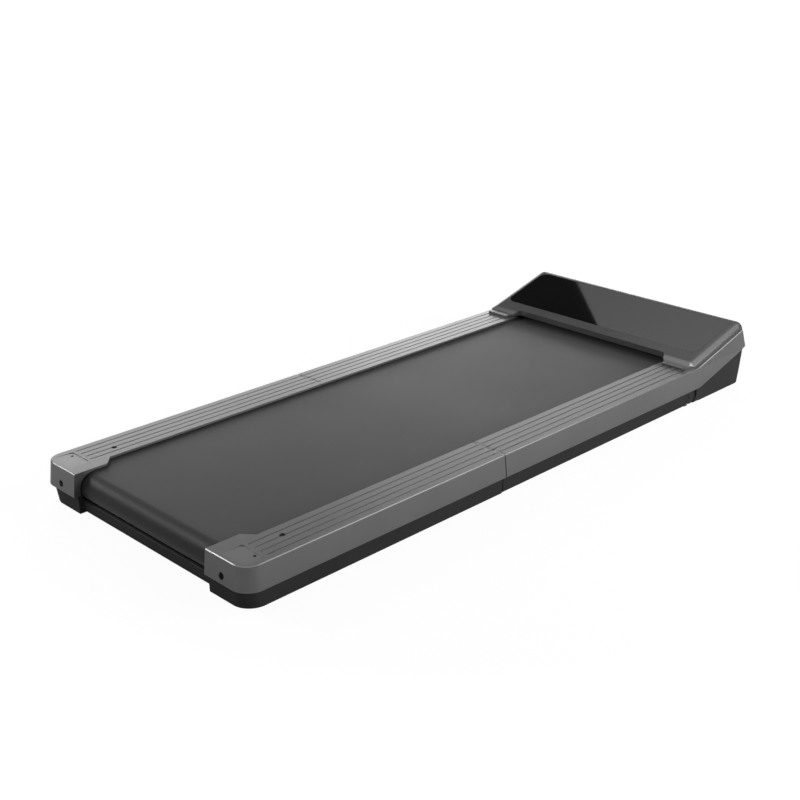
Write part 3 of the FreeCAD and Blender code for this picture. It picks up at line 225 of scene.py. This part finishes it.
materials = {
    "silver_cover": silver_paint(),
    "belt": belt_weave(),
    "dark_plastic": finish_of(
        "dark_plastic", dark=(0.050, 0.050, 0.0505), light=(0.058, 0.058, 0.0585), mottle=9.0,
        rough=(0.5, 0.6), grain=1500.0, strength=0.25, depth=0.00012, Specular_IOR_Level=0.18),
    "housing_grey": cover_coat(),
    "panel_gloss": finish_of(
        "panel_gloss", dark=(0.018, 0.018, 0.0185), light=(0.022, 0.022, 0.0225), mottle=4.0,
        rough=(0.03, 0.05), grain=60.0, strength=0.01, depth=0.00005, IOR=2.0),
    "frame_steel": finish_of(
        "frame_steel", dark=(0.030, 0.030, 0.032), light=(0.042, 0.042, 0.044), mottle=14.0,
        rough=(0.45, 0.55), grain=700.0, strength=0.3, depth=0.0001),
    "bright_steel": finish_of(
        "bright_steel", dark=(0.46, 0.46, 0.47), light=(0.58, 0.58, 0.59), mottle=30.0,
        rough=(0.25, 0.4), grain=900.0, strength=0.15, depth=0.00008, Metallic=1.0),
    "deck_board": finish_of(
        "deck_board", dark=(0.17, 0.115, 0.07), light=(0.25, 0.17, 0.105), mottle=40.0,
        rough=(0.55, 0.7), grain=500.0, strength=0.3, depth=0.0001),
    "rubber": finish_of(
        "rubber", dark=(0.014, 0.014, 0.014), light=(0.022, 0.022, 0.022), mottle=20.0,
        rough=(0.6, 0.75), grain=800.0, strength=0.4, depth=0.00015),
    "alloy": finish_of(
        "alloy", dark=(0.52, 0.52, 0.53), light=(0.64, 0.64, 0.65), mottle=25.0,
        rough=(0.3, 0.42), grain=600.0, strength=0.2, depth=0.0001, Metallic=1.0),
    "board_green": finish_of(
        "board_green", dark=(0.012, 0.11, 0.045), light=(0.02, 0.17, 0.07), mottle=120.0,
        rough=(0.3, 0.4), grain=900.0, strength=0.2, depth=0.0001),
    "copper_core": finish_of(
        "copper_core", dark=(0.40, 0.17, 0.07), light=(0.55, 0.26, 0.12), mottle=200.0,
        rough=(0.3, 0.45), grain=1200.0, strength=0.4, depth=0.0002, Metallic=1.0),
}

for part in frame["record"]["subparts"]:
    thing = nodes[part["node"]]
    thing.data.materials.clear()
    thing.data.materials.append(materials[part["material_slot"]])


# Pieces that the scene adds
def dressed(name, mesh, slot, crease=40.0):
    """Object from a bmesh, with a slot's finish and edges sharp from the crease angle on."""
    bmesh.ops.recalc_face_normals(mesh, faces=mesh.faces)
    data = bpy.data.meshes.new(name)
    mesh.to_mesh(data)
    mesh.free()
    data.shade_smooth()
    data.set_sharp_from_angle(angle=math.radians(crease))
    thing = bpy.data.objects.new(name, data)
    scene.collection.objects.link(thing)
    thing.data.materials.append(materials[slot])
    return thing


def stack_of_rings(mesh, rings):
    """Closed skin over rings of equal count, capped at both ends."""
    loops = [[mesh.verts.new(point) for point in ring] for ring in rings]
    count = len(loops[0])
    for a, b in zip(loops, loops[1:]):
        for i in range(count):
            j = (i + 1) % count
            mesh.faces.new((a[i], a[j], b[j], b[i]))
    mesh.faces.new(loops[0])
    mesh.faces.new(loops[-1])


# Walking belt: two closed bands that meet at the fold
belt_thickness = 1.8 * mm
belt_columns = 24
belt_fine_rows = 20
belt_fine_step = 0.0015
belt_coarse_rows = 28
belt_turn_steps = 40


def belt_path(roller_y, seam_y, roller_z, radius):
    """Points and outward normals from the seam below, round the roller, to the seam above."""
    toward = 1.0 if seam_y > roller_y else -1.0
    reach = abs(seam_y - roller_y)
    fine = [reach - i * belt_fine_step for i in range(belt_fine_rows)]
    coarse = [fine[-1] * (1 - (i + 1) / belt_coarse_rows) for i in range(belt_coarse_rows)]
    run = fine + coarse
    path = [((roller_y + toward * d, roller_z - radius), (0.0, -1.0)) for d in run]
    for i in range(1, belt_turn_steps):
        angle = -math.pi / 2 - toward * math.pi * i / belt_turn_steps
        normal = (math.cos(angle), math.sin(angle))
        path.append(((roller_y + normal[0] * radius, roller_z + normal[1] * radius), normal))
    path += [((roller_y + toward * d, roller_z + radius), (0.0, 1.0)) for d in reversed(run)]
    return path


def belt_band(name, path, half_width):
    """Closed band along a path, with the belt's thickness on its inner side."""
    mesh = bmesh.new()
    rows = []
    for (y, z), (ny, nz) in path:
        row = []
        for depth in (0.0, belt_thickness):
            line = []
            for i in range(belt_columns + 1):
                x = -half_width + 2 * half_width * i / belt_columns
                line.append(mesh.verts.new((x, y - ny * depth, z - nz * depth)))
            row.append(line)
        rows.append(row)
    for a, b in zip(rows, rows[1:]):
        for i in range(belt_columns):
            mesh.faces.new((a[0][i], a[0][i + 1], b[0][i + 1], b[0][i]))
            mesh.faces.new((a[1][i], b[1][i], b[1][i + 1], a[1][i + 1]))
        for i in (0, belt_columns):
            mesh.faces.new((a[0][i], b[0][i], b[1][i], a[1][i]))
    for row in (rows[0], rows[-1]):
        for i in range(belt_columns):
            mesh.faces.new((row[0][i], row[0][i + 1], row[1][i + 1], row[1][i]))
    return dressed(name, mesh, "belt")


joints = {joint["name"]: joint for joint in frame["joints"]}
front_pin_y = joints["fold_front"]["pos_m"][1]
rear_pin_y = joints["fold_rear"]["pos_m"][1]
seam_y = (front_pin_y + rear_pin_y) / 2
halves = (("front", "front_frame"), ("rear", "rear_frame"))
for end, body in halves:
    node = "walking_belt_" + end
    low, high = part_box(node)
    radius = (high.z - low.z) / 2
    roller_y = high.y - radius if end == "front" else low.y + radius
    path = belt_path(roller_y, seam_y, (low.z + high.z) / 2, radius)
    band = belt_band("belt_band_" + end, path, high.x)
    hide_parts(node)
    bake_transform(band)

# Beads and screws under the bottom pans, with their roots in the pan
pan_root = -0.3 * mm
bead_count = 6
bead_half_length = 0.175
bead_half_width = 0.011
bead_end_turns = 12
bead_steps = ((0.0, pan_root), (0.0, 0.0), (0.9 * mm, 0.9 * mm), (2.2 * mm, 1.5 * mm), (4.0 * mm, 1.8 * mm))
screw_rows = 5
screw_x = 0.212
screw_end_margin = 0.022
screw_sides = 48
screw_steps = ((4.2 * mm, pan_root), (4.2 * mm, 0.5 * mm), (3.95 * mm, 0.95 * mm), (3.3 * mm, 1.3 * mm),
               (2.6 * mm, 1.45 * mm))
recess_arm = 2.1 * mm
recess_half_arm = 0.5 * mm
recess_steps = ((1.0, 1.5 * mm), (0.75, 0.5 * mm))


def screw_circle(x, y, z, radius):
    turn = 2 * math.pi / screw_sides
    return [(x + radius * math.cos(i * turn), y + radius * math.sin(i * turn), z) for i in range(screw_sides)]


def screw_cross(x, y, z, scale):
    ring = []
    for i in range(screw_sides):
        angle = 2 * math.pi * (i + 0.5) / screw_sides
        off_axis = abs((angle + math.pi / 4) % (math.pi / 2) - math.pi / 4)
        reach = min(recess_arm / math.cos(off_axis), recess_half_arm / math.sin(off_axis)) * scale
        ring.append((x + reach * math.cos(angle), y + reach * math.sin(angle), z))
    return ring


def screw_head(mesh, x, y, z):
    """Pan head that looks down, with a cross recess."""
    rings = [screw_circle(x, y, z - depth, radius) for radius, depth in screw_steps]
    rings += [screw_cross(x, y, z - depth, scale) for scale, depth in recess_steps]
    stack_of_rings(mesh, rings)


def bead_outline(y, z, inset):
    radius = bead_half_width - inset
    middle = bead_half_length - bead_half_width
    ring = []
    for side in (1, -1):
        for i in range(bead_end_turns + 1):
            angle = -math.pi / 2 + math.pi * i / bead_end_turns
            ring.append((side * (middle + radius * math.cos(angle)), y + side * radius * math.sin(angle), z))
    return ring


for end, body in halves:
    low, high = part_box(end + "_bottom_pan")
    length = high.y - low.y
    beads = bmesh.new()
    for i in range(bead_count):
        bead_y = low.y + length * (i + 0.5) / bead_count
        stack_of_rings(beads, [bead_outline(bead_y, low.z - depth, inset) for inset, depth in bead_steps])
    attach(dressed("pan_beads_" + end, beads, "dark_plastic"), body)
    screws = bmesh.new()
    for i in range(screw_rows):
        screw_y = low.y + screw_end_margin + (length - 2 * screw_end_margin) * i / (screw_rows - 1)
        for x in (-screw_x, screw_x):
            screw_head(screws, x, screw_y, low.z)
    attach(dressed("pan_screws_" + end, screws, "frame_steel"), body)

# Liners and caps of the transport wheels, in the arches of the skirts
liner_pan_gap = 0.3 * mm
liner_overhang = 0.6 * mm
liner_gap = 1.6 * mm
liner_wall = 1.6 * mm
liner_angles = range(-60, 241, 5)
cap_sides = 64
cap_crease = 50.0
# How far each ring of the cap stands out from the wheel, and its radius, in millimetres
cap_profile = ((0.1, 17.9), (4.6, 17.9), (5.5, 17.5), (6.1, 16.6), (6.3, 15.4), (6.0, 14.4), (5.0, 13.6),
               (4.8, 12.8), (4.8, 7.0), (5.0, 6.2), (5.9, 5.5), (6.2, 4.6), (6.3, 2.4), (6.3, 0.6))


def arc_point(x, y, z, radius, angle):
    return (x, y + radius * math.cos(angle), z + radius * math.sin(angle))


sides = (("left", -1), ("right", 1))
for hand, side in sides:
    low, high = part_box("transport_wheel_" + hand)
    y = (low.y + high.y) / 2
    z = (low.z + high.z) / 2
    face_x = max(abs(low.x), abs(high.x))
    near = side * (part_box("front_bottom_pan")[1].x + liner_pan_gap)
    far = side * (face_x + liner_overhang)
    inner = (high.z - low.z) / 2 + liner_gap
    outer = inner + liner_wall
    corners = ((near, inner), (far, inner), (far, outer), (near, outer))
    liner = bmesh.new()
    stack_of_rings(liner, [[arc_point(x, y, z, r, math.radians(angle)) for x, r in corners]
                           for angle in liner_angles])
    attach(dressed("wheel_liner_" + hand, liner, "dark_plastic"), "front_frame")
    turn = 2 * math.pi / cap_sides
    cap_rings = []
    for out, r in cap_profile:
        x = side * (face_x + out * mm)
        cap_rings.append([arc_point(x, y, z, r * mm, i * turn) for i in range(cap_sides)])
    cap = bmesh.new()
    stack_of_rings(cap, cap_rings)
    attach(dressed("wheel_cap_" + hand, cap, "dark_plastic", cap_crease), "wheel_" + hand)

# Thin rubber strips at the fold, on the ends of the front rail covers, black enough to darken the seam as painted
# shade
strip_span = (-0.5 * mm, -0.02 * mm)
strip_foot_rise = 0.4 * mm
strip_foot_inset = 0.5 * mm
strip_top_inset = 4.2 * mm
strip_top_z = 73.4 * mm
strip_inner_inset = 8.1 * mm
strip_inner_z = 72.6 * mm
for hand, side in sides:
    low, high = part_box("front_rail_cover_" + hand)
    outside = max(abs(low.x), abs(high.x))
    foot_z = low.z + strip_foot_rise
    section = ((outside - strip_foot_inset, foot_z), (outside - strip_top_inset, strip_top_z),
               (outside - strip_inner_inset, strip_inner_z), (outside - strip_inner_inset, foot_z))
    strip = bmesh.new()
    stack_of_rings(strip, [[(side * x, low.y + shift, z) for x, z in section] for shift in strip_span])
    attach(dressed("seam_shade_strip_" + hand, strip, "rubber"), "front_frame")


# Studio
def stage_sheet(name, corners, location=(0, 0, 0)):
    """Flat four-cornered sheet that belongs to the stage."""
    sheet = bpy.data.objects.new(name, bpy.data.meshes.new(name))
    sheet.data.from_pydata([tuple(corner) for corner in corners], [], [(0, 1, 2, 3)])
    sheet.location = location
    scene.collection.objects.link(sheet)
    sheet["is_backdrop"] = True
    return sheet


def backdrop_share(tree, straight, reflected):
    """How far a surface turns into white background, seen straight, and reflected or refracted."""
    path = tree.nodes.new("ShaderNodeLightPath")
    bent = math_node(tree, "MAXIMUM", path.outputs["Is Glossy Ray"], path.outputs["Is Transmission Ray"])
    seen = math_node(tree, "MULTIPLY", path.outputs["Is Camera Ray"], straight)
    return math_node(tree, "MAXIMUM", seen, math_node(tree, "MULTIPLY", bent, reflected))


# Pale floor that turns white away from the object
floor_half = 20
floor_drop = 0.0005
floor_corners = ((-floor_half, -floor_half, 0), (floor_half, -floor_half, 0), (floor_half, floor_half, 0),
                 (-floor_half, floor_half, 0))
floor = stage_sheet("floor", floor_corners, (0, 0, -floor_drop))
floor_paint, floor_tree, floor_shader, floor_where = new_material("floor_paint")
floor_shader.inputs["Base Color"].default_value = (0.65, 0.65, 0.65, 1)
floor_shader.inputs["Roughness"].default_value = 0.9
floor_glow = floor_tree.nodes.new("ShaderNodeEmission")
floor_glow.inputs["Strength"].default_value = 1.18
floor_reach = floor_tree.nodes.new("ShaderNodeVectorMath")
floor_reach.operation = "LENGTH"
floor_tree.links.new(floor_where, floor_reach.inputs[0])
floor_white = mapped(floor_tree, floor_reach.outputs["Value"], 0.8, 1.0, from_low=0.8, from_high=1.6)
floor_mix = floor_tree.nodes.new("ShaderNodeMixShader")
floor_share = backdrop_share(floor_tree, straight=floor_white, reflected=0.03)
floor_tree.links.new(floor_share, floor_mix.inputs["Fac"])
floor_tree.links.new(floor_shader.outputs["BSDF"], floor_mix.inputs[1])
floor_tree.links.new(floor_glow.outputs["Emission"], floor_mix.inputs[2])
floor_tree.links.new(floor_mix.outputs["Shader"], floor_tree.nodes["Material Output"].inputs["Surface"])
floor.data.materials.append(floor_paint)

# White background with a low fill, brighter overhead in reflections
world = bpy.data.worlds.new("studio")
scene.world = world
world.use_nodes = True
sky = world.node_tree
background = sky.nodes["Background"]
background.inputs["Color"].default_value = (1, 1, 1, 1)
sky_where = sky.nodes.new("ShaderNodeTexCoord")
sky_axes = sky.nodes.new("ShaderNodeSeparateXYZ")
sky.links.new(sky_where.outputs["Generated"], sky_axes.inputs["Vector"])
fill = mapped(sky, sky_axes.outputs["Y"], 0.09, 0.11, from_low=-1.0, from_high=1.0)
overhead_white = mapped(sky, sky_axes.outputs["Z"], 0.12, 0.62, from_low=0.52, from_high=0.70)
sky_share = backdrop_share(sky, straight=1.0, reflected=overhead_white)
sky.links.new(math_node(sky, "MAXIMUM", fill, sky_share), background.inputs["Strength"])


def area_light(name, location, target, size, radiance):
    """Softbox of a given brightness, hidden from the camera itself."""
    lamp = bpy.data.lights.new(name, "AREA")
    lamp.shape = "RECTANGLE"
    lamp.size, lamp.size_y = size
    lamp.energy = math.pi * size[0] * size[1] * radiance
    thing = bpy.data.objects.new(name, lamp)
    thing.location = location
    thing.rotation_euler = (Vector(target) - Vector(location)).to_track_quat("-Z", "Y").to_euler()
    thing.visible_camera = False
    scene.collection.objects.link(thing)


# Softboxes: name, place, aim, width and height, radiance
softboxes = (
    ("left_wall_rear", (-2.1, 0.85, 0.59), (0, 0.85, 0.59), (1.7, 1.18), 1.5),
    ("left_wall_front", (-2.1, 3.2, 0.66), (0, 3.2, 0.66), (3.0, 1.32), 2.1),
    ("back_wall", (-1.5, 4.6, 1.1), (-1.5, 0, 1.1), (5.0, 2.2), 0.35),
    ("right_top", (1.25, 1.25, 1.5), (0.27, 0.0, 0.07), (1.2, 1.2), 1.5),
    ("right_low", (2.8, 1.4, 0.9), (0, 0.6, 0.05), (2.4, 1.4), 3.3),
    ("rear_edge", (-1.5, -1.5, 1.15), (0, -0.67, 0.07), (1.1, 0.5), 6.0),
    ("rear_soft", (0.3, -3.0, 1.6), (0, -0.6, 0.05), (2.0, 1.0), 0.4),
)
for softbox in softboxes:
    area_light(*softbox)

# Black card beside the panel, seen only in reflections
card_edge_front = Vector((-2.526, 2.656, 1.923))
card_edge_rear = Vector((-1.045, 1.510, 2.236))
card_side = Vector((-1.362, -1.723, 0.132))
card_corners = (card_edge_front, card_edge_rear, card_edge_rear + card_side, card_edge_front + card_side)
card = stage_sheet("black_card", card_corners)
card_paint, _, card_shader, _ = new_material("card_paint")
card_shader.inputs["Base Color"].default_value = (0, 0, 0, 1)
card_shader.inputs["Specular IOR Level"].default_value = 0.0
card.data.materials.append(card_paint)
for kind in ("camera", "diffuse", "transmission", "shadow", "volume_scatter"):
    setattr(card, "visible_" + kind, False)

# Camera at the photograph's angle
lens = bpy.data.cameras.new("camera")
lens.sensor_width = 36.0
lens.lens = 58.68
camera = bpy.data.objects.new("camera", lens)
camera.location = (1.60156, -1.67359, 1.01437)
aim = Vector((-0.10393, 0.02187, 0.03516)) - camera.location
camera.rotation_euler = aim.to_track_quat("-Z", "Y").to_euler()
scene.collection.objects.link(camera)
scene.camera = camera

scene.view_settings.view_transform = "Standard"
low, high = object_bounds()
